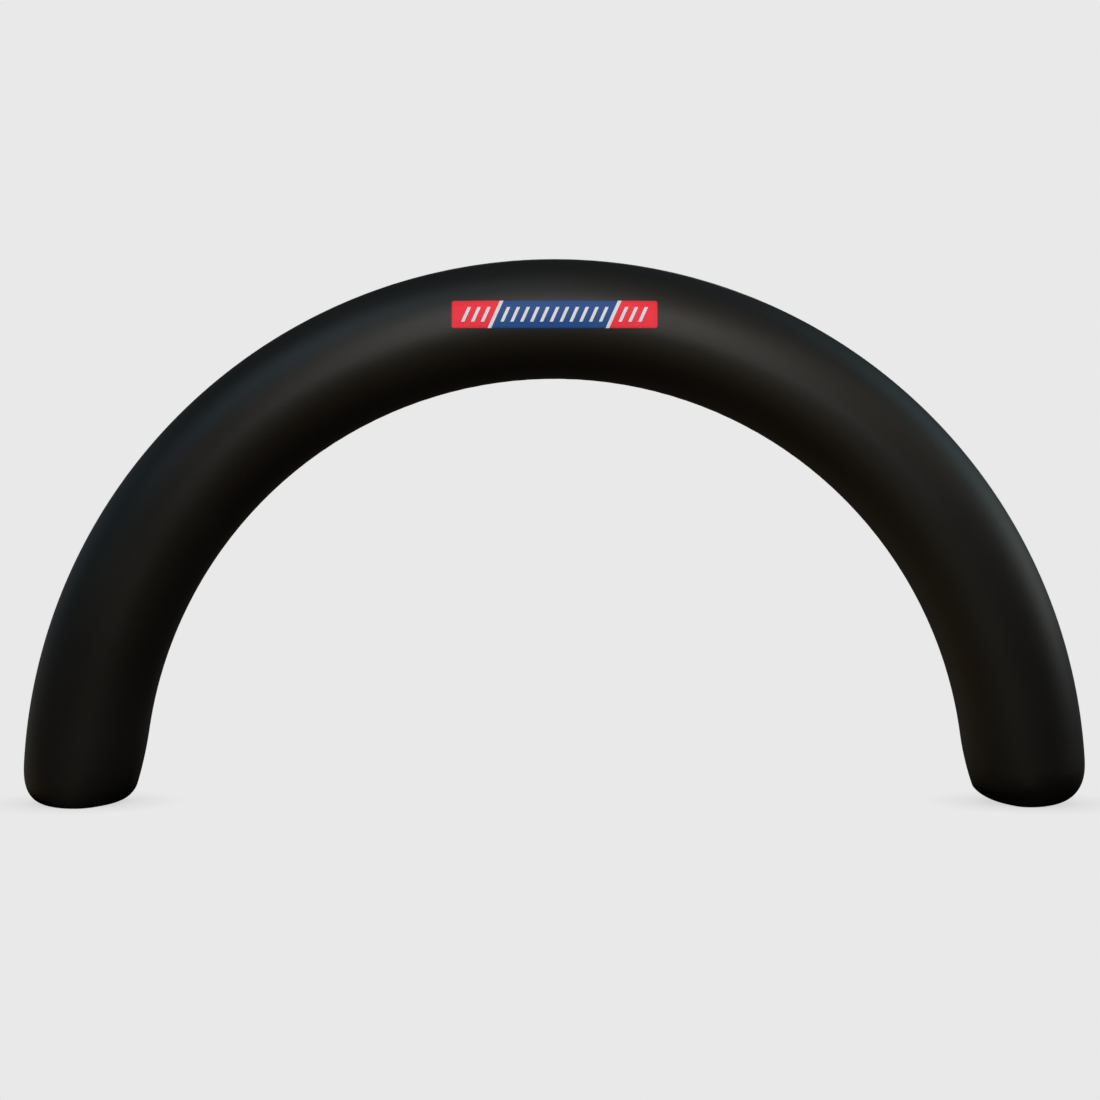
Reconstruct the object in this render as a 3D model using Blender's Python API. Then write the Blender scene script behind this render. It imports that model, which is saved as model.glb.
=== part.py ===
"""Inflatable arch: a half ring of coated cloth, full of air, on two rounded feet, with a printed crown panel.

Metres, +Z up. The origin lies on the floor midway between the feet. +X runs along the arch's width, and the
printed panel faces -Y.
"""

from math import atan2, cos, pi, radians, sin, sqrt
from typing import NamedTuple

import bmesh
import bpy


class FootRound(NamedTuple):
    """A rounded edge of a foot: how far it draws in at the floor, where it starts, and how square it is."""

    inset: float
    height: float
    power: float


class Foot(NamedTuple):
    """A foot: how its outer side, inner side and depth round off at the floor, and its inner side's taper."""

    outer: FootRound
    inner: FootRound
    depth: FootRound
    taper_depth: float
    taper_height: float


# The tube: a half ring that springs from a line just over the floor.
OVERALL_WIDTH = 6.096
TUBE_RADIUS = 0.343
ARCH_RADIUS = OVERALL_WIDTH / 2 - TUBE_RADIUS
SPRING_HEIGHT = 0.076

# The feet: rounded on every side, tapered on the side that faces the archway, and each settled in its own way.
LEFT_FOOT = Foot(
    outer=FootRound(inset=0.218, height=0.280, power=3.37),
    inner=FootRound(inset=0.108, height=0.107, power=2.07),
    depth=FootRound(inset=0.035, height=0.196, power=1.60),
    taper_depth=0.079,
    taper_height=0.418,
)
RIGHT_FOOT = Foot(
    outer=FootRound(inset=0.271, height=0.292, power=2.90),
    inner=FootRound(inset=0.130, height=0.094, power=1.58),
    depth=FootRound(inset=0.101, height=0.196, power=1.60),
    taper_depth=0.085,
    taper_height=0.392,
)

# The printed panel on the front of the crown.
BANNER_WIDTH = 1.150
BANNER_HEIGHT = 0.154
BANNER_LEVEL = 2.770
BANNER_CORNER = 0.012
BANNER_THICKNESS = 0.0015
BANNER_GAP = 0.0003

# The prism that the panel is cut from, from its near face to its far one, and the arch that it has to meet.
PRISM_FRONT = -0.400
PRISM_BACK = -0.200
CROWN_HALF_WIDTH = 0.75 * BANNER_WIDTH
CORNER_STEPS = 4

# Facets: sides around the tube, and rings along its leg, its foot zone and its arch.
SIDES = 40
LEG_RINGS = 8
FOOT_ZONE = radians(8)
FOOT_ZONE_RINGS = 7
ARCH_STEPS = 56
SMOOTH_ANGLE = radians(35)


def clear_scene():
    """Remove whatever the scene holds."""
    for item in list(bpy.data.objects):
        bpy.data.objects.remove(item, do_unlink=True)


def cloth_finish(name, colour, roughness):
    """Return a Principled material for cloth of one colour."""
    material = bpy.data.materials.new(name)
    material.use_nodes = True
    shader = material.node_tree.nodes["Principled BSDF"]
    shader.inputs["Base Color"].default_value = (*colour, 1.0)
    shader.inputs["Roughness"].default_value = roughness
    shader.inputs["Metallic"].default_value = 0.0
    return material


def add_object(name, build, material=None):
    """Turn a filled bmesh into a named object with outward faces, smooth but for its sharp edges."""
    bmesh.ops.recalc_face_normals(build, faces=build.faces)
    mesh = bpy.data.meshes.new(name)
    build.to_mesh(mesh)
    build.free()
    mesh.shade_smooth()
    mesh.set_sharp_from_angle(angle=SMOOTH_ANGLE)
    item = bpy.data.objects.new(name, mesh)
    bpy.context.collection.objects.link(item)
    if material is not None:
        mesh.materials.append(material)
    return item


def drawn_in(edge, height):
    """Return how far a rounded edge has drawn in at a height over the floor."""
    rest = min(max(1 - height / edge.height, 0.0), 1.0)
    return edge.inset * (1 - (1 - rest ** edge.power) ** (1 / edge.power))


def shaped_foot(foot, x, y, z):
    """Move a point of the plain tube onto a foot's rounded, tapering shape at the same height."""
    rise = max(z - SPRING_HEIGHT, 0.0)
    outer = sqrt((ARCH_RADIUS + TUBE_RADIUS) ** 2 - rise ** 2)
    inner = sqrt((ARCH_RADIUS - TUBE_RADIUS) ** 2 - rise ** 2)
    taper = foot.taper_depth * max(1 - z / foot.taper_height, 0.0) ** 2
    foot_outer = outer - drawn_in(foot.outer, z)
    foot_inner = inner + drawn_in(foot.inner, z) + taper
    share = (abs(x) - inner) / (outer - inner)
    reach = foot_inner + share * (foot_outer - foot_inner)
    depth = y * (1 - drawn_in(foot.depth, z) / TUBE_RADIUS)
    return (reach if x > 0 else -reach, depth, z)


def level_ring(foot, side, height):
    """Return a level ring of a foot under the springing line, on the side +1 or -1."""
    ring = []
    for step in range(SIDES):
        around = 2 * pi * step / SIDES
        reach = ARCH_RADIUS + TUBE_RADIUS * cos(around)
        ring.append(shaped_foot(foot, side * reach, TUBE_RADIUS * sin(around), height))
    return ring


def arch_ring(angle, radius):
    """Return the ring at an angle along the half ring, counted from the +X springing line."""
    foot = RIGHT_FOOT if angle < pi / 2 else LEFT_FOOT
    ring = []
    for step in range(SIDES):
        around = 2 * pi * step / SIDES
        reach = ARCH_RADIUS + radius * cos(around)
        x, z = reach * cos(angle), SPRING_HEIGHT + reach * sin(angle)
        depth = radius * sin(around)
        ring.append(shaped_foot(foot, x, depth, z) if z < foot.taper_height else (x, depth, z))
    return ring


def leg_heights(foot):
    """Return the levels of a foot's rings, floor first, spaced evenly around its outer rounding."""
    edge = foot.outer
    share = (1 - SPRING_HEIGHT / edge.height) ** (edge.power / 2)
    turn = atan2(sqrt(1 - share ** 2), share)
    heights = []
    for step in range(LEG_RINGS):
        rest = cos(turn * step / LEG_RINGS) ** (2 / edge.power)
        heights.append(edge.height * (1 - rest))
    return heights


def arch_angles():
    """Return the angles of the half ring's rings: close together over the feet, even in between."""
    low = [FOOT_ZONE * step / FOOT_ZONE_RINGS for step in range(FOOT_ZONE_RINGS)]
    sweep = pi - 2 * FOOT_ZONE
    middle = [FOOT_ZONE + sweep * step / ARCH_STEPS for step in range(ARCH_STEPS + 1)]
    high = [pi - angle for angle in reversed(low)]
    return low + middle + high


def loft(rings):
    """Return a bmesh that joins equal rings in order and closes both ends with a flat face."""
    build = bmesh.new()
    loops = [[build.verts.new(point) for point in ring] for ring in rings]
    for first, second in zip(loops, loops[1:]):
        for step in range(SIDES):
            after = (step + 1) % SIDES
            build.faces.new((first[step], first[after], second[after], second[step]))
    build.faces.new(loops[0])
    build.faces.new(loops[-1])
    return build


def make_tube(material):
    """Make the inflated tube from foot to foot, flat where each foot rests."""
    rings = [level_ring(RIGHT_FOOT, 1, height) for height in leg_heights(RIGHT_FOOT)]
    rings += [arch_ring(angle, TUBE_RADIUS) for angle in arch_angles()]
    rings += [level_ring(LEFT_FOOT, -1, height) for height in reversed(leg_heights(LEFT_FOOT))]
    return add_object("arch_tube", loft(rings), material)


def make_crown_form(name, offset):
    """Make a cutter: the crown's stretch of the tube, swollen by an offset, with the tube's own facets."""
    half_turn = CROWN_HALF_WIDTH / ARCH_RADIUS
    angles = [angle for angle in arch_angles() if abs(angle - pi / 2) < half_turn]
    form = add_object(name, loft([arch_ring(angle, TUBE_RADIUS + offset) for angle in angles]))
    form.hide_render = True
    form.display_type = "WIRE"
    return form


def banner_outline():
    """Return the panel's outline in its own plane: a rectangle with four equal round corners."""
    half_width = BANNER_WIDTH / 2 - BANNER_CORNER
    half_height = BANNER_HEIGHT / 2 - BANNER_CORNER
    points = []
    for quarter, (x, z) in enumerate(((1, 1), (-1, 1), (-1, -1), (1, -1))):
        for step in range(CORNER_STEPS + 1):
            turn = (quarter + step / CORNER_STEPS) * pi / 2
            points.append((x * half_width + BANNER_CORNER * cos(turn),
                           z * half_height + BANNER_CORNER * sin(turn)))
    return points


def make_banner(material):
    """Make the printed panel: a prism through the crown's front, kept only just over the tube's skin."""
    build = bmesh.new()
    near = build.faces.new([build.verts.new((x, PRISM_FRONT, z)) for x, z in banner_outline()])
    grown = bmesh.ops.extrude_face_region(build, geom=[near])["geom"]
    far = [item for item in grown if isinstance(item, bmesh.types.BMVert)]
    bmesh.ops.translate(build, verts=far, vec=(0, PRISM_BACK - PRISM_FRONT, 0))
    banner = add_object("banner", build, material)
    banner.location = (0, 0, BANNER_LEVEL)
    face_form = make_crown_form("banner_face_form", BANNER_GAP + BANNER_THICKNESS)
    back_form = make_crown_form("banner_back_form", BANNER_GAP)
    for operation, form in (("INTERSECT", face_form), ("DIFFERENCE", back_form)):
        cut = banner.modifiers.new(form.name, "BOOLEAN")
        cut.operation = operation
        cut.object = form
        cut.solver = "EXACT"
    return banner


def main():
    """Build the arch."""
    clear_scene()
    make_tube(cloth_finish("black_coated_cloth", (0.012, 0.012, 0.013), 0.45))
    make_banner(cloth_finish("printed_panel", (0.030, 0.080, 0.250), 0.50))


main()
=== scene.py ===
"""Looks of the inflatable arch: its coated skin, its printed crown panel, and the studio around them.

Metres, +Z up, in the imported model's frame. The arch stands on the floor at z = 0, its width runs along X, and
its printed face looks along -Y.
"""

import logging
from dataclasses import dataclass
from enum import Enum
from math import atan2, cos, exp, pi, radians, sin, sqrt
from typing import Iterator, Mapping, Sequence, Union

import bmesh
import bpy
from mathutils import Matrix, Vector


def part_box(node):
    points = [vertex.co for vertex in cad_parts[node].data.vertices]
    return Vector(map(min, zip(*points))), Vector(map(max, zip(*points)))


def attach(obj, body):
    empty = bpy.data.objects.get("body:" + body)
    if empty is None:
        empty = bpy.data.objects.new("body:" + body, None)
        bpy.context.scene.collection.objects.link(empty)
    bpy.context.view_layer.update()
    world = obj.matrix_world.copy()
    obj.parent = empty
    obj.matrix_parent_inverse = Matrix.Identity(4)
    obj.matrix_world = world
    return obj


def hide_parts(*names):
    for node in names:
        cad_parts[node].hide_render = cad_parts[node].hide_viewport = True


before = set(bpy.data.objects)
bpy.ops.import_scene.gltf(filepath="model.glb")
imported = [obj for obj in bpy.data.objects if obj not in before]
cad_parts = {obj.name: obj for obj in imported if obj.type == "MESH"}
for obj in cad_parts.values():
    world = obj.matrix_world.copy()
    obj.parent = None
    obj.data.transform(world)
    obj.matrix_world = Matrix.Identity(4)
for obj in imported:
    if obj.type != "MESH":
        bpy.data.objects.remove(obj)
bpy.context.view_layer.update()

log = logging.getLogger("inflatable_arch")

Colour = tuple[float, float, float]
Point = tuple[float, float, float]
Number = Union[float, "Signal"]
Parts = tuple["Signal", "Signal", "Signal"]

BODY = "root"
SKIN_MAP = "skin_metres"
UNLIT = (0.0, 0.0, 0.0)
MILLIMETRE = 0.001

# The Mix node's two colour inputs, which share their names with its other inputs.
MIX_FIRST, MIX_SECOND = 6, 7


def smooth_step(value: float, low: float, high: float) -> float:
    """Ease from 0 to 1 as a value goes from low to high.

    Args:
        value: The value to ease.
        low: Where the result leaves 0.
        high: Where the result reaches 1; it may be under low.

    Returns:
        The eased share, from 0 to 1.
    """
    share = min(max((value - low) / (high - low), 0.0), 1.0)
    return share * share * (3 - 2 * share)


# ---------------------------------------------------------------------------------------------- shader maths


class Signal:
    """A socket that shader maths can be written with."""

    def __init__(self, sheet: "NodeSheet", socket: bpy.types.NodeSocket) -> None:
        """Wrap an output socket of a sheet's node."""
        self.sheet = sheet
        self.socket = socket

    def _maths(self, operation: str, *values: Number) -> "Signal":
        """Add a Math node.

        Args:
            operation: The Math node's operation.
            values: Its inputs in order.

        Returns:
            The node's result.
        """
        return self.sheet.node("ShaderNodeMath", {"operation": operation}, dict(enumerate(values)))["Value"]

    def __add__(self, other: Number) -> "Signal":
        """Return self + other."""
        return self._maths("ADD", self, other)

    def __sub__(self, other: Number) -> "Signal":
        """Return self - other."""
        return self._maths("SUBTRACT", self, other)

    def __rsub__(self, other: float) -> "Signal":
        """Return other - self."""
        return self._maths("SUBTRACT", other, self)

    def __mul__(self, other: Number) -> "Signal":
        """Return self * other."""
        return self._maths("MULTIPLY", self, other)

    def __truediv__(self, other: Number) -> "Signal":
        """Return self / other."""
        return self._maths("DIVIDE", self, other)

    def __rtruediv__(self, other: float) -> "Signal":
        """Return other / self."""
        return self._maths("DIVIDE", other, self)

    def __neg__(self) -> "Signal":
        """Return self with its sign turned round."""
        return self._maths("MULTIPLY", self, -1.0)

    def __gt__(self, other: Number) -> "Signal":
        """Return 1 where self is over other, and 0 elsewhere."""
        return self._maths("GREATER_THAN", self, other)

    def __lt__(self, other: Number) -> "Signal":
        """Return 1 where self is under other, and 0 elsewhere."""
        return self._maths("LESS_THAN", self, other)

    def __abs__(self) -> "Signal":
        """Return self without its sign."""
        return self._maths("ABSOLUTE", self)

    __radd__ = __add__
    __rmul__ = __mul__

    def sine(self) -> "Signal":
        """Return the sine of self, in radians."""
        return self._maths("SINE", self)

    def fraction(self) -> "Signal":
        """Return what is left of self over its whole number."""
        return self._maths("FRACT", self)

    def exponential(self) -> "Signal":
        """Return e to the power of self."""
        return self._maths("EXPONENT", self)

    def most(self, other: Number) -> "Signal":
        """Return the larger of self and other."""
        return self._maths("MAXIMUM", self, other)

    def eased(self, low: float, high: float) -> "Signal":
        """Return an eased step from 0 at low to 1 at high."""
        sockets = {"Value": self, "From Min": low, "From Max": high}
        return self.sheet.node("ShaderNodeMapRange", {"interpolation_type": "SMOOTHSTEP"}, sockets)["Result"]

    def along(self, direction: Point) -> "Signal":
        """Return the dot product of self, a vector, with a fixed direction."""
        settings = {"operation": "DOT_PRODUCT"}
        return self.sheet.node("ShaderNodeVectorMath", settings, {0: self, 1: direction})["Value"]


class NodeSheet:
    """A node tree of a material or a world, with one way to add nodes."""

    def __init__(self, tree: bpy.types.NodeTree) -> None:
        """Start from an emptied tree."""
        self.tree = tree
        tree.nodes.clear()

    def node(self, kind: str, settings: Mapping[str, object] | None = None,
             sockets: Mapping[str | int, object] | None = None) -> dict[str, Signal]:
        """Add a node.

        Args:
            kind: The node's type name.
            settings: The node's own settings, set before its sockets. "stops" holds a ramp's positions and
                colours.
            sockets: Values or signals for its inputs, by name or number.

        Returns:
            Its outputs by name.
        """
        node = self.tree.nodes.new(kind)
        for name, value in (settings or {}).items():
            if name == "stops":
                self._set_stops(node.color_ramp, value)
            else:
                setattr(node, name, value)
        for key, value in (sockets or {}).items():
            if isinstance(value, Signal):
                self.tree.links.new(value.socket, node.inputs[key])
            else:
                node.inputs[key].default_value = value
        return {output.name: Signal(self, output) for output in node.outputs if output.enabled}

    @staticmethod
    def _set_stops(ramp: bpy.types.ColorRamp, stops: Sequence[tuple[float, Colour]]) -> None:
        """Give a ramp its stops.

        Args:
            ramp: The ramp, which starts with two stops.
            stops: Two or more stops, each a position and a colour.
        """
        while len(ramp.elements) < len(stops):
            ramp.elements.new(1.0)
        for element, (position, colour) in zip(ramp.elements, stops):
            element.position = position
            element.color = (*colour, 1.0)

    def mixed(self, share: Number, first: object, second: object) -> Signal:
        """Mix two colours.

        Args:
            share: How much of the second shows, from 0 to 1.
            first: A colour or a signal.
            second: A colour or a signal.

        Returns:
            The mixed colour.
        """
        def paint(value: object) -> object:
            """Give a plain colour its fourth channel."""
            return value if isinstance(value, Signal) else (*value, 1.0)

        sockets = {"Factor": share, MIX_FIRST: paint(first), MIX_SECOND: paint(second)}
        return self.node("ShaderNodeMix", {"data_type": "RGBA"}, sockets)["Result"]

    def added(self, first: Signal, second: Signal) -> Signal:
        """Return two colours added."""
        settings = {"data_type": "RGBA", "blend_type": "ADD", "clamp_result": False}
        sockets = {"Factor": 1.0, MIX_FIRST: first, MIX_SECOND: second}
        return self.node("ShaderNodeMix", settings, sockets)["Result"]

    def noise(self, place: Signal, scale: float, detail: float = 2.0) -> Signal:
        """Return soft noise from 0 to 1 at a place.

        Args:
            place: The coordinate that the noise is read at.
            scale: Repeats a metre.
            detail: Octaves.

        Returns:
            The noise.
        """
        return self.node("ShaderNodeTexNoise", {}, {"Vector": place, "Scale": scale, "Detail": detail})["Fac"]

    def split(self, vector: Signal) -> Parts:
        """Return a vector's three parts."""
        parts = self.node("ShaderNodeSeparateXYZ", {}, {"Vector": vector})
        return parts["X"], parts["Y"], parts["Z"]


def new_material(name: str) -> tuple[bpy.types.Material, NodeSheet]:
    """Start a material.

    Args:
        name: The material's name.

    Returns:
        The material and its emptied node sheet.
    """
    material = bpy.data.materials.new(name)
    material.use_nodes = True
    return material, NodeSheet(material.node_tree)


# -------------------------------------------------------------------------------------------------- finishes


@dataclass(frozen=True)
class ClothFinish:
    """What every cloth here shares: a name, a gloss, and a plain weave under its coat."""

    name: str
    roughness: float
    gloss: float
    weave_pitch: float
    weave_depth: float

    def new_sheet(self) -> tuple[bpy.types.Material, NodeSheet]:
        """Return a new material of this name and its emptied node sheet."""
        return new_material(self.name)

    def weave(self, across: Signal, up: Signal) -> Signal:
        """Return the height of a plain weave, from -1 to 1, in a flat map measured in metres."""
        turns = 2 * pi / self.weave_pitch
        return (across * turns).sine() * (up * turns).sine()

    def close(self, sheet: NodeSheet, colour: Signal, roughness: Number, height: Signal) -> None:
        """Finish a material.

        Args:
            sheet: The material's nodes.
            colour: Its base colour.
            roughness: Its roughness.
            height: Its relief, in metres.
        """
        bump = sheet.node("ShaderNodeBump", {}, {"Strength": 1.0, "Distance": 1.0, "Height": height})
        shader = sheet.node("ShaderNodeBsdfPrincipled", {}, {
            "Base Color": colour, "Roughness": roughness, "Metallic": 0.0,
            "Specular IOR Level": self.gloss, "Normal": bump["Normal"]})
        sheet.node("ShaderNodeOutputMaterial", {}, {"Surface": shader["BSDF"]})


@dataclass(frozen=True)
class Seam:
    """A felled seam: a lap of cloth that stands over the skin, with a row of stitches along each edge."""

    half_width: float = 12 * MILLIMETRE
    edge: float = 1.2 * MILLIMETRE
    lift: float = 0.8 * MILLIMETRE
    row_inset: float = 3.0 * MILLIMETRE
    stitch_pitch: float = 4.2 * MILLIMETRE
    stitch_share: float = 0.72
    stitch_width: float = 0.9 * MILLIMETRE
    stitch_height: float = 0.25 * MILLIMETRE

    def lap(self, off: float) -> float:
        """Return how far the lap stands over the skin at a distance from the seam's middle."""
        return self.lift * smooth_step(off, self.half_width, self.half_width - self.edge)

    def stitches(self, along: Signal, off: Signal) -> Signal:
        """Return the stitches' swell, from 0 to 1.

        Args:
            along: Distance along the seam.
            off: Distance from the seam's middle.

        Returns:
            1 on a stitch's crest, and 0 beside it.
        """
        from_row = abs(off - (self.half_width - self.row_inset))
        from_middle = abs((along / self.stitch_pitch).fraction() - 0.5) * (2 / self.stitch_share)
        across = from_row.eased(self.stitch_width / 2, self.stitch_width / 6)
        return across * from_middle.eased(1.0, 0.6)


@dataclass(frozen=True)
class CoatedCloth(ClothFinish):
    """The skin's black coated polyester: satin, slightly mottled, and duller where it meets the ground."""

    name: str = "black_coated_cloth"
    roughness: float = 0.40
    gloss: float = 0.5
    weave_pitch: float = 1.2 * MILLIMETRE
    weave_depth: float = 0.03 * MILLIMETRE
    black: Colour = (0.0030, 0.0028, 0.0025)
    worn: Colour = (0.0035, 0.0033, 0.0030)
    faded: Colour = (0.0044, 0.0042, 0.0038)
    thread: Colour = (0.0090, 0.0088, 0.0085)
    dust: Colour = (0.0048, 0.0044, 0.0038)
    dust_height: float = 0.10
    dust_share: float = 0.5
    wear_steps: tuple[float, float, float] = (0.38, 0.54, 0.66)
    mottle_scale: float = 1.7
    mottle_share: float = 0.7
    mottle_dulling: float = 0.06
    cloud_scale: float = 55.0
    cloud_share: float = 0.3
    cloud_dulling: float = 0.04
    dust_dulling: float = 0.10
    lap_dulling: float = 0.03
    thread_dulling: float = 0.12
    peel_scale: float = 60.0
    peel_depth: float = 0.035 * MILLIMETRE
    grain_scale: float = 200.0
    grain_depth: float = 0.05 * MILLIMETRE

    def material(self, tube_radius: float, seam: Seam) -> bpy.types.Material:
        """Return the finish as a material.

        Args:
            tube_radius: The radius that the skin's flat map is unrolled at.
            seam: The seam along the skin's outer and inner lines.

        Returns:
            The material; it reads the skin's flat map.
        """
        material, sheet = self.new_sheet()
        place = sheet.node("ShaderNodeTexCoord")["Object"]
        along, around, _ = sheet.split(sheet.node("ShaderNodeUVMap", {"uv_map": SKIN_MAP})["UV"])
        half_turn = pi * tube_radius
        off_seam = half_turn / 2 - abs(abs(around - half_turn) - half_turn / 2)
        lap = off_seam.eased(seam.half_width, seam.half_width - seam.edge)
        stitches = seam.stitches(along, off_seam)

        low = sheet.split(place)[2].eased(self.dust_height, 0.0)
        mottle = sheet.noise(place, self.mottle_scale, 3.0)
        cloud = sheet.noise(place, self.cloud_scale, 3.0)
        peel = sheet.noise(place, self.peel_scale, 1.0)
        grain = sheet.noise(place, self.grain_scale, 2.0)

        stops = tuple(zip(self.wear_steps, (self.black, self.worn, self.faded)))
        wear = mottle * self.mottle_share + cloud * self.cloud_share
        cloth = sheet.node("ShaderNodeValToRGB", {"stops": stops}, {"Fac": wear})["Color"]
        dusty = sheet.mixed(low * cloud.eased(0.40, 0.65) * self.dust_share, cloth, self.dust)
        colour = sheet.mixed(stitches, dusty, self.thread)
        even = self.roughness - (self.mottle_dulling + self.cloud_dulling) / 2
        roughness = (mottle * self.mottle_dulling + cloud * self.cloud_dulling + low * self.dust_dulling
                     + lap * self.lap_dulling + stitches * self.thread_dulling + even)
        weave = self.weave(along, around) * (1.0 - stitches)
        relief = (weave * self.weave_depth + peel * self.peel_depth + grain * self.grain_depth
                  + stitches * seam.stitch_height)
        self.close(sheet, colour, roughness, relief)
        return material


@dataclass(frozen=True)
class BarPrint:
    """The print's layout: a row of slanted bars between two dividers, and on into the two ends."""

    level: float
    slant: float = 0.45
    pitch: float = 0.055
    width: float = 0.0185
    half_height: float = 0.041
    divider_width: float = 0.0205
    divider_place: int = 6
    outermost_bar: int = 9

    def slanted(self, place: Parts) -> Signal:
        """Return the distance from the panel's middle, measured along the slanted grid."""
        return place[0] - (place[2] - self.level) * self.slant

    def white(self, place: Parts) -> Signal:
        """Mark the white shapes.

        Args:
            place: The parts of a place in the frame.

        Returns:
            1 on a bar or a divider, and 0 elsewhere.
        """
        slanted = self.slanted(place)
        from_bar = abs((slanted / self.pitch + 0.5).fraction() - 0.5) * self.pitch
        in_row = abs(slanted) < (self.outermost_bar + 0.5) * self.pitch
        bars = (from_bar < self.width / 2) * in_row * (abs(place[2] - self.level) < self.half_height)
        from_divider = abs(abs(slanted) - self.divider_place * self.pitch)
        return bars.most(from_divider < self.divider_width / 2)

    def ends(self, place: Parts) -> Signal:
        """Return 1 past the dividers, and 0 between them."""
        return abs(self.slanted(place)) > self.divider_place * self.pitch


@dataclass(frozen=True)
class PrintedPanel(ClothFinish):
    """The crown panel's print: a row of slanted white bars on a blue field between two red ends."""

    name: str = "printed_panel"
    roughness: float = 0.40
    gloss: float = 0.27
    weave_pitch: float = 0.9 * MILLIMETRE
    weave_depth: float = 0.01 * MILLIMETRE
    blue: Colour = (0.001, 0.056, 0.232)
    red: Colour = (0.810, 0.011, 0.036)
    white: Colour = (0.690, 0.710, 0.780)
    grime: Colour = (0.020, 0.020, 0.022)
    grime_share: float = 0.08
    mottle_scale: float = 9.0
    mottle_dulling: float = 0.08

    def material(self, layout: BarPrint) -> bpy.types.Material:
        """Return the finish as a material.

        Args:
            layout: The print's layout.

        Returns:
            The material; it reads the panel's place in the frame.
        """
        material, sheet = self.new_sheet()
        place = sheet.node("ShaderNodeTexCoord")["Object"]
        parts = sheet.split(place)
        field = sheet.mixed(layout.ends(parts), self.blue, self.red)
        ink = sheet.mixed(layout.white(parts), field, self.white)
        mottle = sheet.noise(place, self.mottle_scale, 3.0)
        colour = sheet.mixed(mottle.eased(0.35, 0.75) * self.grime_share, ink, self.grime)
        roughness = mottle * self.mottle_dulling + (self.roughness - self.mottle_dulling / 2)
        relief = self.weave(parts[0], parts[2]) * self.weave_depth
        self.close(sheet, colour, roughness, relief)
        return material


@dataclass(frozen=True)
class SewingThread(ClothFinish):
    """Bonded polyester thread, matched to the field that it crosses, with the twist of its plies."""

    name: str = "sewing_thread"
    roughness: float = 0.50
    gloss: float = 0.4
    weave_pitch: float = 0.5 * MILLIMETRE
    weave_depth: float = 0.02 * MILLIMETRE
    middle: Colour = (0.002, 0.042, 0.150)
    ends: Colour = (0.520, 0.010, 0.028)
    shade_scale: float = 60.0
    shade_share: float = 0.3

    def material(self, layout: BarPrint) -> bpy.types.Material:
        """Return the finish as a material.

        Args:
            layout: The layout of the print that the thread crosses.

        Returns:
            The material; it reads the thread's place in the frame.
        """
        material, sheet = self.new_sheet()
        place = sheet.node("ShaderNodeTexCoord")["Object"]
        parts = sheet.split(place)
        matched = sheet.mixed(layout.ends(parts), self.middle, self.ends)
        shade = sheet.noise(place, self.shade_scale) * self.shade_share
        colour = sheet.mixed(shade, matched, UNLIT)
        twist = self.weave(parts[0] + parts[2], parts[0] - parts[2])
        self.close(sheet, colour, self.roughness, twist * self.weave_depth)
        return material


# ---------------------------------------------------------------------------------------------------- shapes


@dataclass(frozen=True)
class FootRound:
    """A rounded edge of a foot: how far it draws in at the floor, where it starts, and how square it is."""

    inset: float
    height: float
    power: float

    def drawn_in(self, height: float) -> float:
        """Return how far the edge has drawn in at a height over the floor."""
        rest = min(max(1 - height / self.height, 0.0), 1.0)
        return self.inset * (1 - (1 - rest ** self.power) ** (1 / self.power))


@dataclass(frozen=True)
class Foot:
    """A foot: how its outer side, inner side and depth round off at the floor, and its inner side's taper."""

    outer: FootRound
    inner: FootRound
    depth: FootRound
    taper_depth: float
    taper_height: float


LEFT_FOOT = Foot(
    outer=FootRound(inset=0.218, height=0.280, power=3.37),
    inner=FootRound(inset=0.108, height=0.107, power=2.07),
    depth=FootRound(inset=0.035, height=0.196, power=1.60),
    taper_depth=0.079,
    taper_height=0.418,
)
RIGHT_FOOT = Foot(
    outer=FootRound(inset=0.271, height=0.292, power=2.90),
    inner=FootRound(inset=0.130, height=0.094, power=1.58),
    depth=FootRound(inset=0.101, height=0.196, power=1.60),
    taper_depth=0.085,
    taper_height=0.392,
)


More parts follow.
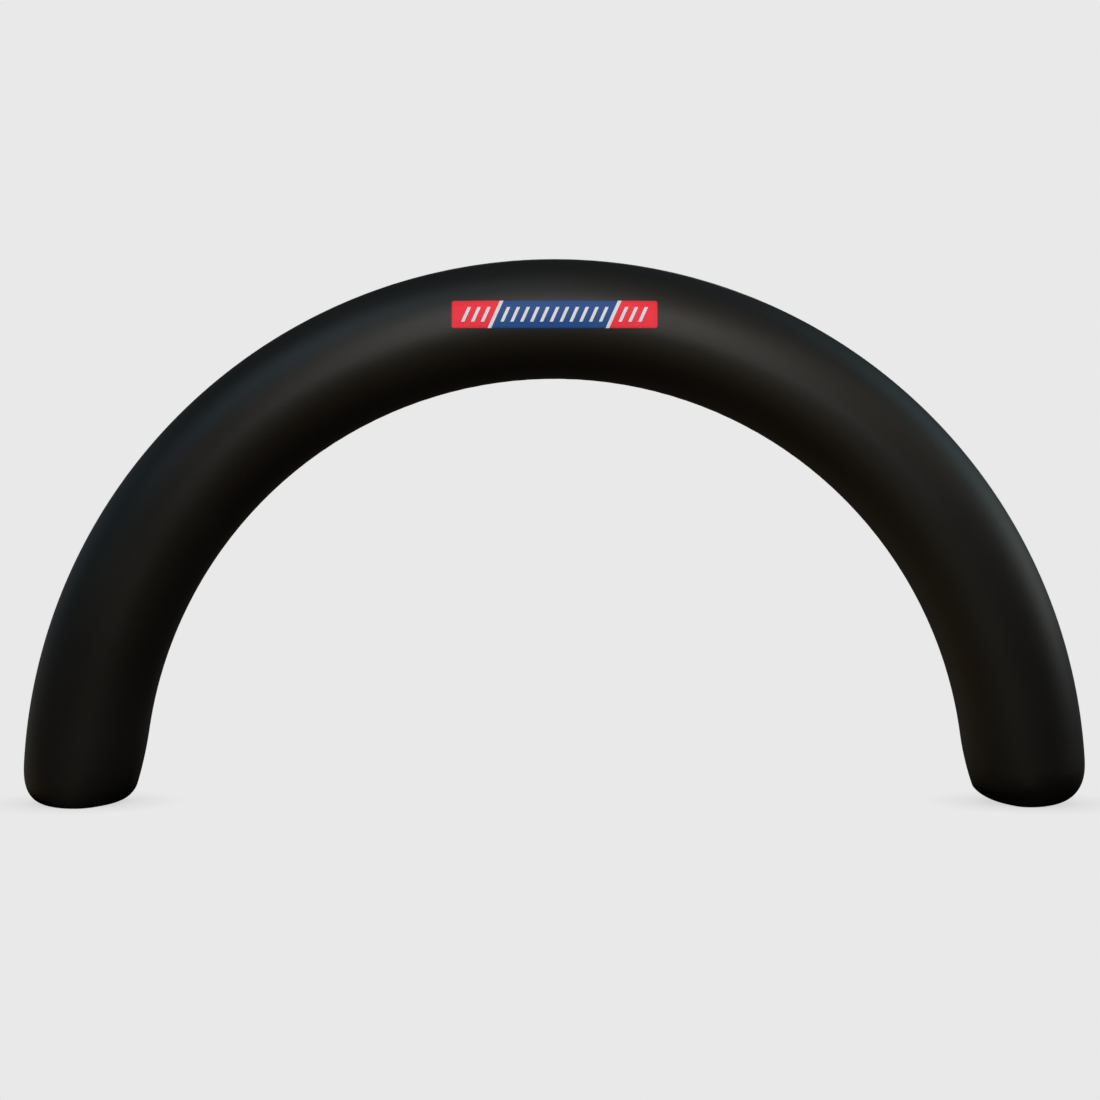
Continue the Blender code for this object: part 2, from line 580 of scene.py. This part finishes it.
@dataclass(frozen=True)
class ArchForm:
    """The arch's outer surface: a half ring on two short legs, each shaped into a rounded foot."""

    tube_radius: float
    arch_radius: float
    spring_height: float = 0.076
    left_foot: Foot = LEFT_FOOT
    right_foot: Foot = RIGHT_FOOT

    @classmethod
    def from_frame(cls, node: str) -> "ArchForm":
        """Fit the form to a node.

        Args:
            node: The node that it fills from front to back and from floor to crown.

        Returns:
            The form.
        """
        low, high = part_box(node)
        tube_radius = (high[1] - low[1]) / 2
        return cls(tube_radius, high[2] - cls.spring_height - tube_radius)

    @property
    def run(self) -> float:
        """The length of the tube's middle line, from floor to floor."""
        return pi * self.arch_radius + 2 * self.spring_height

    def shaped(self, x: float, y: float, z: float) -> Point:
        """Move a point of the plain tube onto the shape of the foot on its side, at the same height.

        Args:
            x: The point's place along the arch's width.
            y: Its place in depth.
            z: Its height over the floor.

        Returns:
            The point on the foot, or as it was where it is above the foot.
        """
        foot = self.right_foot if x > 0 else self.left_foot
        if z >= foot.taper_height:
            return x, y, z
        rise = max(z - self.spring_height, 0.0)
        outer = sqrt((self.arch_radius + self.tube_radius) ** 2 - rise ** 2)
        inner = sqrt((self.arch_radius - self.tube_radius) ** 2 - rise ** 2)
        taper = foot.taper_depth * (1 - z / foot.taper_height) ** 2
        foot_outer = outer - foot.outer.drawn_in(z)
        foot_inner = inner + foot.inner.drawn_in(z) + taper
        share = (abs(x) - inner) / (outer - inner)
        reach = foot_inner + share * (foot_outer - foot_inner)
        depth = y * (1 - foot.depth.drawn_in(z) / self.tube_radius)
        return (reach if x > 0 else -reach), depth, z

    def at(self, along: float, around: float, lift: float = 0.0) -> Point:
        """Return a point of the surface.

        Args:
            along: Distance along the middle line from the +X foot's floor.
            around: Angle around the tube, 0 on its outer side and a quarter turn on its back.
            lift: How far the point stands off the surface.

        Returns:
            The point in the frame.
        """
        radius = self.tube_radius + lift
        reach, depth = self.arch_radius + radius * cos(around), radius * sin(around)
        left = self.run - along
        if min(along, left) < self.spring_height:
            return self.shaped(reach if along < left else -reach, depth, min(along, left))
        angle = (along - self.spring_height) / self.arch_radius
        return self.shaped(reach * cos(angle), depth, self.spring_height + reach * sin(angle))

    def front_at(self, x: float, z: float, lift: float) -> Point:
        """Return the point of the ring's front over (x, z), stood off by a lift."""
        off_middle = sqrt(x * x + (z - self.spring_height) ** 2) - self.arch_radius
        return x, -sqrt((self.tube_radius + lift) ** 2 - off_middle ** 2), z


def add_piece(name: str, build: bmesh.types.BMesh, material: bpy.types.Material) -> bpy.types.Object:
    """Turn a filled bmesh into a smooth, named object with outward faces.

    Args:
        name: The object's name.
        build: Its mesh, which is freed.
        material: Its finish.

    Returns:
        The object, linked to the scene.
    """
    bmesh.ops.recalc_face_normals(build, faces=build.faces)
    mesh = bpy.data.meshes.new(name)
    build.to_mesh(mesh)
    build.free()
    mesh.shade_smooth()
    mesh.materials.append(material)
    piece = bpy.data.objects.new(name, mesh)
    bpy.context.scene.collection.objects.link(piece)
    return piece


class SeamLine(Enum):
    """Where a seam runs along the tube, as an angle around it."""

    OUTER = 0.0
    INNER = pi


@dataclass
class InflatedTube:
    """The skin: one tube of coated cloth from foot to foot, sewn along its outer and inner lines."""

    form: ArchForm
    sides: int = 96
    leg_rings: int = 22
    foot_zone: float = radians(8)
    foot_zone_rings: int = 30
    arch_rings: int = 520
    base_rings: int = 5
    seam: Seam = Seam()
    pucker_depth: float = 0.27 * MILLIMETRE
    pucker_pitches: tuple[float, float] = (0.105, 0.155)
    second_pucker: float = 0.6
    pucker_reach: float = 0.030
    pucker_floor: tuple[float, float] = (0.12, 0.35)

    def stations(self) -> list[float]:
        """Space the rings.

        Returns:
            Their places along the middle line, closest together at the floor.
        """
        low = [self.foot_zone * step / self.foot_zone_rings for step in range(self.foot_zone_rings)]
        sweep = pi - 2 * self.foot_zone
        middle = [self.foot_zone + sweep * step / self.arch_rings for step in range(self.arch_rings + 1)]
        angles = low + middle + [pi - angle for angle in reversed(low)]
        ring = [self.form.spring_height + self.form.arch_radius * angle for angle in angles]
        last_leg = [self.form.run - along for along in reversed(self._leg(self.form.left_foot))]
        return self._leg(self.form.right_foot) + ring + last_leg

    def _leg(self, foot: Foot) -> list[float]:
        """Space a foot's rings under the springing line.

        Args:
            foot: The foot.

        Returns:
            Their heights, floor first, even around the foot's outer rounding.
        """
        edge = foot.outer
        share = (1 - self.form.spring_height / edge.height) ** (edge.power / 2)
        turn = atan2(sqrt(1 - share ** 2), share)
        rests = [cos(turn * step / self.leg_rings) ** (2 / edge.power) for step in range(self.leg_rings)]
        return [edge.height * (1 - rest) for rest in rests]

    def turns(self) -> list[float]:
        """Space the lines that run along the tube.

        Returns:
            Their angles around it: even, with extra ones on both sides of the seams' edges.
        """
        even = [2 * pi * step / self.sides for step in range(self.sides)]
        low, high = self.seam.half_width - self.seam.edge, self.seam.half_width
        edges = []
        for line in SeamLine:
            for off in (low - self.seam.edge, low, high, high + self.seam.edge):
                turn = off / self.form.tube_radius
                edges += [(line.value + turn) % (2 * pi), (line.value - turn) % (2 * pi)]
        return sorted(even + edges)

    def relief(self, along: float, around: float) -> float:
        """Raise the seams' laps and the puckers beside them.

        Args:
            along: Distance along the middle line.
            around: Angle around the tube.

        Returns:
            How far the skin stands off its plain form.
        """
        off = min(abs(around - line.value) for line in SeamLine)
        off = min(off, 2 * pi - around) * self.form.tube_radius
        first, second = self.pucker_pitches
        wave = sin(2 * pi * along / first) + self.second_pucker * sin(2 * pi * along / second)
        fade = exp(-max(off - self.seam.half_width, 0.0) / self.pucker_reach)
        clear_of_floor = smooth_step(min(along, self.form.run - along), *self.pucker_floor)
        return self.seam.lap(off) + self.pucker_depth * wave * fade * clear_of_floor

    def build(self, finish: CoatedCloth) -> bpy.types.Object:
        """Build and dress the skin.

        Args:
            finish: The skin's cloth.

        Returns:
            The skin, riding on the body and standing for its solid.
        """
        build = bmesh.new()
        skin_map = build.loops.layers.uv.new(SKIN_MAP)
        stations, turns = self.stations(), self.turns()
        rings = [[build.verts.new(self.form.at(along, turn, self.relief(along, turn))) for turn in turns]
                 for along in stations]
        wrapped = turns + [2 * pi]
        for row, (first, second) in enumerate(zip(rings, rings[1:])):
            for step in range(len(turns)):
                after = (step + 1) % len(turns)
                face = build.faces.new((first[step], first[after], second[after], second[step]))
                corners = ((row, step), (row, step + 1), (row + 1, step + 1), (row + 1, step))
                for loop, (line, column) in zip(face.loops, corners):
                    loop[skin_map].uv = (stations[line], wrapped[column] * self.form.tube_radius)
        self._close_base(build, rings[0])
        self._close_base(build, rings[-1])
        skin = add_piece("arch_skin", build, finish.material(self.form.tube_radius, self.seam))
        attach(skin, BODY)
        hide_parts("arch_tube")
        return skin

    def _close_base(self, build: bmesh.types.BMesh, rim: Sequence[bmesh.types.BMVert]) -> None:
        """Close a foot's flat spot with rings that shrink to its middle.

        Args:
            build: The skin's mesh.
            rim: The skin's points on the floor, in order.
        """
        middle = sum((vert.co for vert in rim), Vector()) / len(rim)
        last = list(rim)
        for step in range(1, self.base_rings):
            share = 1 - step / self.base_rings
            ring = [build.verts.new(middle.lerp(vert.co, share)) for vert in rim]
            for index in range(len(rim)):
                after = (index + 1) % len(rim)
                build.faces.new((last[index], last[after], ring[after], ring[index]))
            last = ring
        hub = build.verts.new(middle)
        for index in range(len(rim)):
            build.faces.new((last[index], last[(index + 1) % len(rim)], hub))


# A stitch's swell, from end to end of its length.
STITCH_PROFILE = ((-0.5, 0.35), (-0.34, 0.9), (0.0, 1.0), (0.34, 0.9), (0.5, 0.35))


class PanelFace(Enum):
    """A face of the panel: the printed one, or the one that lies on the skin."""

    PRINTED = "printed"
    HIDDEN = "hidden"


@dataclass
class CrownPanel:
    """The printed panel on the crown's front: a hemmed sheet, and the stitches along its hem."""

    form: ArchForm
    width: float
    height: float
    level: float
    corner: float = 0.012
    gap: float = 0.3 * MILLIMETRE
    thickness: float = 1.5 * MILLIMETRE
    hem_width: float = 14 * MILLIMETRE
    hem_rise: float = 0.5 * MILLIMETRE
    hem_edge: float = 2 * MILLIMETRE
    pucker_depth: float = 0.20 * MILLIMETRE
    pucker_pitches: tuple[float, float] = (0.038, 0.061)
    second_pucker: float = 0.5
    pucker_reach: float = 0.012
    columns: int = 230
    rows: int = 44
    stitch_inset: float = 11 * MILLIMETRE
    stitch_pitch: float = 4.6 * MILLIMETRE
    stitch_length: float = 3.3 * MILLIMETRE
    thread_radius: float = 0.38 * MILLIMETRE
    thread_sides: int = 6
    thread_lift: float = 0.4
    thread_dip: float = 0.5
    rim_angle: float = radians(50)

    @classmethod
    def from_frame(cls, form: ArchForm, node: str) -> "CrownPanel":
        """Return a panel as wide and high as a node, on the arch's form."""
        low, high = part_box(node)
        return cls(form, high[0] - low[0], high[2] - low[2], (high[2] + low[2]) / 2)

    def half_width_at(self, rise: float) -> float:
        """Return the panel's half width at a rise from its middle, which its round corners cut back."""
        into_corner = max(abs(rise) - (self.height / 2 - self.corner), 0.0)
        return self.width / 2 - self.corner + sqrt(max(self.corner ** 2 - into_corner ** 2, 0.0))

    def rises(self) -> list[float]:
        """Return the rows' rises from the panel's middle, closest together at its long edges."""
        return [-self.height / 2 * cos(pi * step / self.rows) for step in range(self.rows + 1)]

    def relief(self, x: float, rise: float) -> float:
        """Raise the hem's fold and the puckers that its stitches draw up.

        Args:
            x: A place along the panel.
            rise: Its height over the panel's middle.

        Returns:
            How far the printed face stands over the plain sheet.
        """
        from_side, from_top = self.half_width_at(rise) - abs(x), self.height / 2 - abs(rise)
        from_edge = min(from_side, from_top)
        rim = smooth_step(from_edge, -0.2 * MILLIMETRE, 0.8 * MILLIMETRE)
        fold = smooth_step(from_edge, self.hem_width, self.hem_width - self.hem_edge)
        run = x if from_top < from_side else rise
        first, second = self.pucker_pitches
        wave = sin(2 * pi * run / first) + self.second_pucker * sin(2 * pi * run / second)
        wave += 1 + self.second_pucker
        off_stitches = max(from_edge - self.stitch_inset, 0.0)
        off_corner = smooth_step(abs(from_side - from_top), 0.0, self.hem_width)
        fade = exp(-off_stitches / self.pucker_reach) * off_corner
        return rim * (self.hem_rise * fold + self.pucker_depth * wave * fade)

    def build(self, finish: PrintedPanel, thread: SewingThread) -> bpy.types.Object:
        """Build and dress the panel and its stitches.

        Args:
            finish: The panel's print.
            thread: The stitches' thread.

        Returns:
            The panel, riding on the body in the banner's place.
        """
        build = bmesh.new()
        front, back = self._grid(build, PanelFace.PRINTED), self._grid(build, PanelFace.HIDDEN)
        for grid, step_over in ((front, 1), (back, -1)):
            for row, after in zip(grid, grid[1:]):
                for column in range(self.columns):
                    corners = (row[column], row[column + 1], after[column + 1], after[column])
                    build.faces.new(corners[::step_over])
        front_rim, back_rim = self._rim(front), self._rim(back)
        for index in range(len(front_rim)):
            after = (index + 1) % len(front_rim)
            build.faces.new((front_rim[index], back_rim[index], back_rim[after], front_rim[after]))
        layout = BarPrint(self.level)
        panel = add_piece("crown_panel", build, finish.material(layout))
        panel.data.set_sharp_from_angle(angle=self.rim_angle)
        stitches = self._stitches(thread.material(layout))
        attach(panel, BODY)
        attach(stitches, BODY)
        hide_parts("banner")
        self.width + 2 * MILLIMETRE
        return panel

    def _grid(self, build: bmesh.types.BMesh, face: PanelFace) -> list[list[bmesh.types.BMVert]]:
        """Lay out one of the panel's faces.

        Args:
            build: The panel's mesh.
            face: The face.

        Returns:
            Its points, row by row from the lowest.
        """
        grid = []
        for rise in self.rises():
            row = []
            for column in range(self.columns + 1):
                x = self.half_width_at(rise) * (2 * column / self.columns - 1)
                over = self.thickness + self.relief(x, rise) if face is PanelFace.PRINTED else 0.0
                row.append(build.verts.new(self.form.front_at(x, self.level + rise, self.gap + over)))
            grid.append(row)
        return grid

    @staticmethod
    def _rim(grid: Sequence[Sequence[bmesh.types.BMVert]]) -> list[bmesh.types.BMVert]:
        """Pick out a grid's outer points.

        Args:
            grid: Rows of points.

        Returns:
            The outer points in order.
        """
        right = [row[-1] for row in grid[1:-1]]
        left = [row[0] for row in reversed(grid[1:-1])]
        return [*grid[0], *right, *reversed(grid[-1]), *left]

    def _stitch_line(self) -> Iterator[tuple[float, float, float, float]]:
        """Follow the hem from stitch to stitch.

        Yields:
            Each stitch's middle, along and up the panel, and its direction.
        """
        half_width = self.width / 2 - self.stitch_inset
        half_height = self.height / 2 - self.stitch_inset
        corners = ((-half_width, -half_height), (half_width, -half_height),
                   (half_width, half_height), (-half_width, half_height))
        for (x, rise), (next_x, next_rise) in zip(corners, corners[1:] + corners[:1]):
            length = abs(next_x - x) + abs(next_rise - rise)
            count = round(length / self.stitch_pitch)
            for step in range(count):
                share = (step + 0.5) / count
                yield (x + share * (next_x - x), rise + share * (next_rise - rise),
                       (next_x - x) / length, (next_rise - rise) / length)

    def _stitches(self, thread: bpy.types.Material) -> bpy.types.Object:
        """Build the hem's stitches as one piece: short rounded threads half sunk in the cloth.

        Args:
            thread: Their finish.

        Returns:
            The piece.
        """
        build = bmesh.new()
        for x, rise, run_x, run_rise in self._stitch_line():
            rings = []
            for place, swell in STITCH_PROFILE:
                ring = []
                for step in range(self.thread_sides):
                    turn = 2 * pi * step / self.thread_sides
                    side = self.thread_radius * swell * cos(turn)
                    off_x = x + run_x * self.stitch_length * place - run_rise * side
                    off_rise = rise + run_rise * self.stitch_length * place + run_x * side
                    sunk = self.thread_dip * (2 * place) ** 2
                    lift = self.gap + self.thickness + self.relief(off_x, off_rise)
                    lift += self.thread_radius * (self.thread_lift - sunk + swell * sin(turn))
                    ring.append(build.verts.new(self.form.front_at(off_x, self.level + off_rise, lift)))
                rings.append(ring)
            for first, second in zip(rings, rings[1:]):
                for step in range(self.thread_sides):
                    after = (step + 1) % self.thread_sides
                    build.faces.new((first[step], first[after], second[after], second[step]))
            build.faces.new(rings[0])
            build.faces.new(rings[-1])
        return add_piece("panel_stitching", build, thread)


# ---------------------------------------------------------------------------------------------------- studio


@dataclass(frozen=True)
class SoftLight:
    """A soft patch of light far off: its middle, its half sizes, and its colour and strength in one."""

    name: str
    azimuth: float
    elevation: float
    half_width: float
    half_height: float
    glow: Colour

    def share_along(self, direction: Signal) -> Signal:
        """Find how strongly the patch shows.

        Args:
            direction: The direction that is looked along.

        Returns:
            The strength, from 0 to 1 in the patch's middle.
        """
        turn, rise = radians(self.azimuth), radians(self.elevation)
        out = (sin(turn) * cos(rise), -cos(turn) * cos(rise), sin(rise))
        across = (cos(turn), sin(turn), 0.0)
        up = (-sin(turn) * sin(rise), cos(turn) * sin(rise), cos(rise))
        flat = direction.along(across) / sin(radians(self.half_width))
        tall = direction.along(up) / sin(radians(self.half_height))
        return (-(flat * flat + tall * tall)).exponential() * (direction.along(out) > 0.0)


SOFT_LIGHTS = (
    SoftLight("front", 10.6, 23.8, 21.5, 6.6, (0.98, 0.71, 0.53)),
    SoftLight("front right", 21.0, 39.4, 33.0, 9.8, (0.91, 0.84, 0.72)),
    SoftLight("front above", 14.3, 65.4, 38.0, 15.9, (0.32, 0.25, 0.18)),
    SoftLight("cool left", -41.1, 49.4, 21.7, 17.6, (0.55, 0.88, 1.09)),
    SoftLight("cool right", 106.5, 34.7, 23.2, 17.1, (0.44, 0.64, 0.70)),
    SoftLight("side right", 101.1, 17.6, 23.9, 7.0, (1.15, 1.15, 1.05)),
    SoftLight("side left", -108.3, 20.9, 21.3, 11.8, (0.09, 0.18, 0.24)),
    SoftLight("top", 3.7, 97.3, 53.0, 42.3, (0.087, 0.108, 0.115)),
    SoftLight("low front", -8.9, -30.0, 14.8, 7.5, (0.68, 0.57, 0.34)),
    SoftLight("low front left", -51.0, -24.4, 24.9, 5.9, (0.34, 0.28, 0.17)),
    SoftLight("low left", -101.0, -24.2, 18.1, 22.8, (0.17, 0.10, 0.03)),
    SoftLight("low behind left", -132.1, -15.2, 21.7, 30.1, (0.112, 0.100, 0.076)),
    SoftLight("ground", -13.5, -55.1, 50.3, 8.0, (0.18, 0.09, 0.02)),
    SoftLight("low behind", 180.0, 6.0, 50.0, 14.0, (0.11, 0.11, 0.12)),
)


@dataclass(frozen=True)
class Softbox:
    """A lit panel near the arch, facing it: where it stands, how big it is, and its colour and strength."""

    name: str
    place: Point
    width: float
    height: float
    glow: Colour

    def build(self) -> None:
        """Add the panel as a lamp that the camera doesn't see."""
        strength = max(self.glow)
        lamp = bpy.data.lights.new(self.name, "AREA")
        lamp.shape = "RECTANGLE"
        lamp.size = self.width
        lamp.size_y = self.height
        lamp.color = [channel / strength for channel in self.glow]
        lamp.energy = strength * pi * self.width * self.height
        softbox = bpy.data.objects.new(self.name, lamp)
        softbox.location = self.place
        softbox.rotation_euler = (radians(90 if self.place[1] < 0 else -90), 0.0, 0.0)
        softbox.visible_camera = False
        bpy.context.scene.collection.objects.link(softbox)


SOFTBOXES = (
    Softbox("front_softbox", (0.03, -4.55, 3.77), 3.70, 3.82, (1.744, 1.677, 1.577)),
    Softbox("back_softbox", (0.4, 5.2, 3.6), 3.40, 3.00, (1.10, 1.10, 1.15)),
)


@dataclass
class Studio:
    """A pale floor, with a painted contact shadow round the feet and a painted dark sheet that only the gloss
    reflects, under an equally pale backdrop; soft light all round, and the camera.
    """

    pale: float = 0.8148
    dim: Colour = (0.025, 0.018, 0.012)
    floor_radius: float = 60.0
    floor_sides: int = 96
    painted_floor_shadow_reach: float = 0.30
    painted_floor_shadow_depth: float = 0.22
    painted_gloss_shade_reach: float = 1.20
    painted_gloss_shade_dark: float = 0.60
    painted_gloss_shade_clear: float = 1.0
    openness_samples: int = 16
    fill_strength: float = 1.3
    fill_elevation: float = 15.0
    fill_spread: float = 60.0
    camera_distance: float = 11.813
    camera_height: float = 1.452
    camera_aside: float = -0.0255
    lens_mm: float = 67.14
    sensor_mm: float = 36.0

    def build(self) -> None:
        """Set up the floor, the light and the camera."""
        scene = bpy.context.scene
        scene.view_settings.view_transform = "Standard"
        self._floor()
        self._surroundings()
        self._fill()
        for softbox in SOFTBOXES:
            softbox.build()
        self._camera()

    def _floor(self) -> None:
        """Lay the floor that the camera sees, with a painted contact shadow round the feet, and a black sheet
        close to the feet that only the gloss reflects, as painted shade.
        """
        material, sheet = new_material("pale_floor")
        # Painted shadow: the floor's glow is darkened where ambient occlusion finds the feet close by, a
        # contact shadow painted into its colour and not cast by a lamp.
        painted_shadow_colour = (self.pale * (1.0 - self.painted_floor_shadow_depth),) * 3
        floor_with_painted_shadow = sheet.mixed(self._openness(sheet, self.painted_floor_shadow_reach), painted_shadow_colour, (self.pale,) * 3)
        glow = sheet.node("ShaderNodeEmission", {}, {"Color": floor_with_painted_shadow})
        sheet.node("ShaderNodeOutputMaterial", {}, {"Surface": glow["Emission"]})
        self._disc("studio_floor", 0.0, material).visible_glossy = False

        # Painted shade: a black sheet just over the floor, seen only in reflections, dark where the feet hem it
        # in and clear where the floor is open, so the gloss low on the feet reflects painted shade.
        material, sheet = new_material("painted_shade_sheet")
        openness = self._openness(sheet, self.painted_gloss_shade_reach).eased(self.painted_gloss_shade_dark, self.painted_gloss_shade_clear)
        dark = sheet.node("ShaderNodeEmission", {}, {"Color": (0.0, 0.0, 0.0, 1.0)})["Emission"]
        clear = sheet.node("ShaderNodeBsdfTransparent")["BSDF"]
        mixed = sheet.node("ShaderNodeMixShader", {}, {0: openness, 1: dark, 2: clear})["Shader"]
        sheet.node("ShaderNodeOutputMaterial", {}, {"Surface": mixed})
        self._disc("painted_shade_disc", 0.5 * MILLIMETRE, material).visible_camera = False

    def _openness(self, sheet: NodeSheet, reach: float) -> Signal:
        """Return how open the floor is at each place, from 0 to 1, within a reach."""
        settings = {"samples": self.openness_samples}
        return sheet.node("ShaderNodeAmbientOcclusion", settings, {"Distance": reach})["AO"]

    def _disc(self, name: str, height: float, material: bpy.types.Material) -> bpy.types.Object:
        """Lay a disc of the floor that neither lights nor shades the object.

        Args:
            name: The disc's name.
            height: How far it lies over the floor's level.
            material: Its finish.

        Returns:
            The disc, which isn't part of the object.
        """
        build = bmesh.new()
        bmesh.ops.create_circle(build, cap_ends=True, segments=self.floor_sides, radius=self.floor_radius)
        bmesh.ops.translate(build, verts=build.verts, vec=(0.0, 0.0, height))
        disc = add_piece(name, build, material)
        disc.visible_diffuse = False
        disc.visible_shadow = False
        return disc

    def _surroundings(self) -> None:
        """Light the object from the soft patches, and show the camera the plain backdrop."""
        world = bpy.data.worlds.new("studio")
        bpy.context.scene.world = world
        world.use_nodes = True
        sheet = NodeSheet(world.node_tree)
        direction = sheet.node("ShaderNodeTexCoord")["Generated"]
        total = sheet.mixed(direction.along((0.0, 0.0, -1.0)).eased(-0.1, 0.1), UNLIT, self.dim)
        for light in SOFT_LIGHTS:
            total = sheet.added(total, sheet.mixed(light.share_along(direction), UNLIT, light.glow))
        lit = sheet.node("ShaderNodeBackground", {}, {"Color": total})["Background"]
        plain = sheet.node("ShaderNodeBackground", {}, {"Color": (*(self.pale,) * 3, 1.0)})["Background"]
        seen = sheet.node("ShaderNodeLightPath")["Is Camera Ray"]
        mixed = sheet.node("ShaderNodeMixShader", {}, {0: seen, 1: lit, 2: plain})["Shader"]
        sheet.node("ShaderNodeOutputWorld", {}, {"Surface": mixed})

    def _fill(self) -> None:
        """Add a broad light from the front that brings out colours and leaves no gloss."""
        lamp = bpy.data.lights.new("front_fill", "SUN")
        lamp.energy = self.fill_strength
        lamp.angle = radians(self.fill_spread)
        fill = bpy.data.objects.new("front_fill", lamp)
        fill.rotation_euler = (radians(90 - self.fill_elevation), 0.0, 0.0)
        fill.visible_glossy = False
        bpy.context.scene.collection.objects.link(fill)

    def _camera(self) -> None:
        """Place the camera level with the viewer's eyes, square to the arch."""
        lens = bpy.data.cameras.new("camera")
        lens.lens = self.lens_mm
        lens.sensor_width = self.sensor_mm
        lens.clip_end = 4 * self.floor_radius
        camera = bpy.data.objects.new("camera", lens)
        camera.location = (self.camera_aside, -self.camera_distance, self.camera_height)
        camera.rotation_euler = (radians(90), 0.0, 0.0)
        bpy.context.scene.collection.objects.link(camera)
        bpy.context.scene.camera = camera


def main() -> None:
    """Build the arch and its studio in order, and log the skin's and the panel's faces and the number of soft
    lights.
    """
    logging.basicConfig(level=logging.INFO, format="%(name)s: %(message)s")
    form = ArchForm.from_frame("arch_tube")
    skin = InflatedTube(form).build(CoatedCloth())
    log.info("%s: %d faces", skin.name, len(skin.data.polygons))
    panel = CrownPanel.from_frame(form, "banner").build(PrintedPanel(), SewingThread())
    log.info("%s: %d faces", panel.name, len(panel.data.polygons))
    Studio().build()
    log.info("studio: %d soft lights", len(SOFT_LIGHTS))


if __name__ == "__main__":
    main()
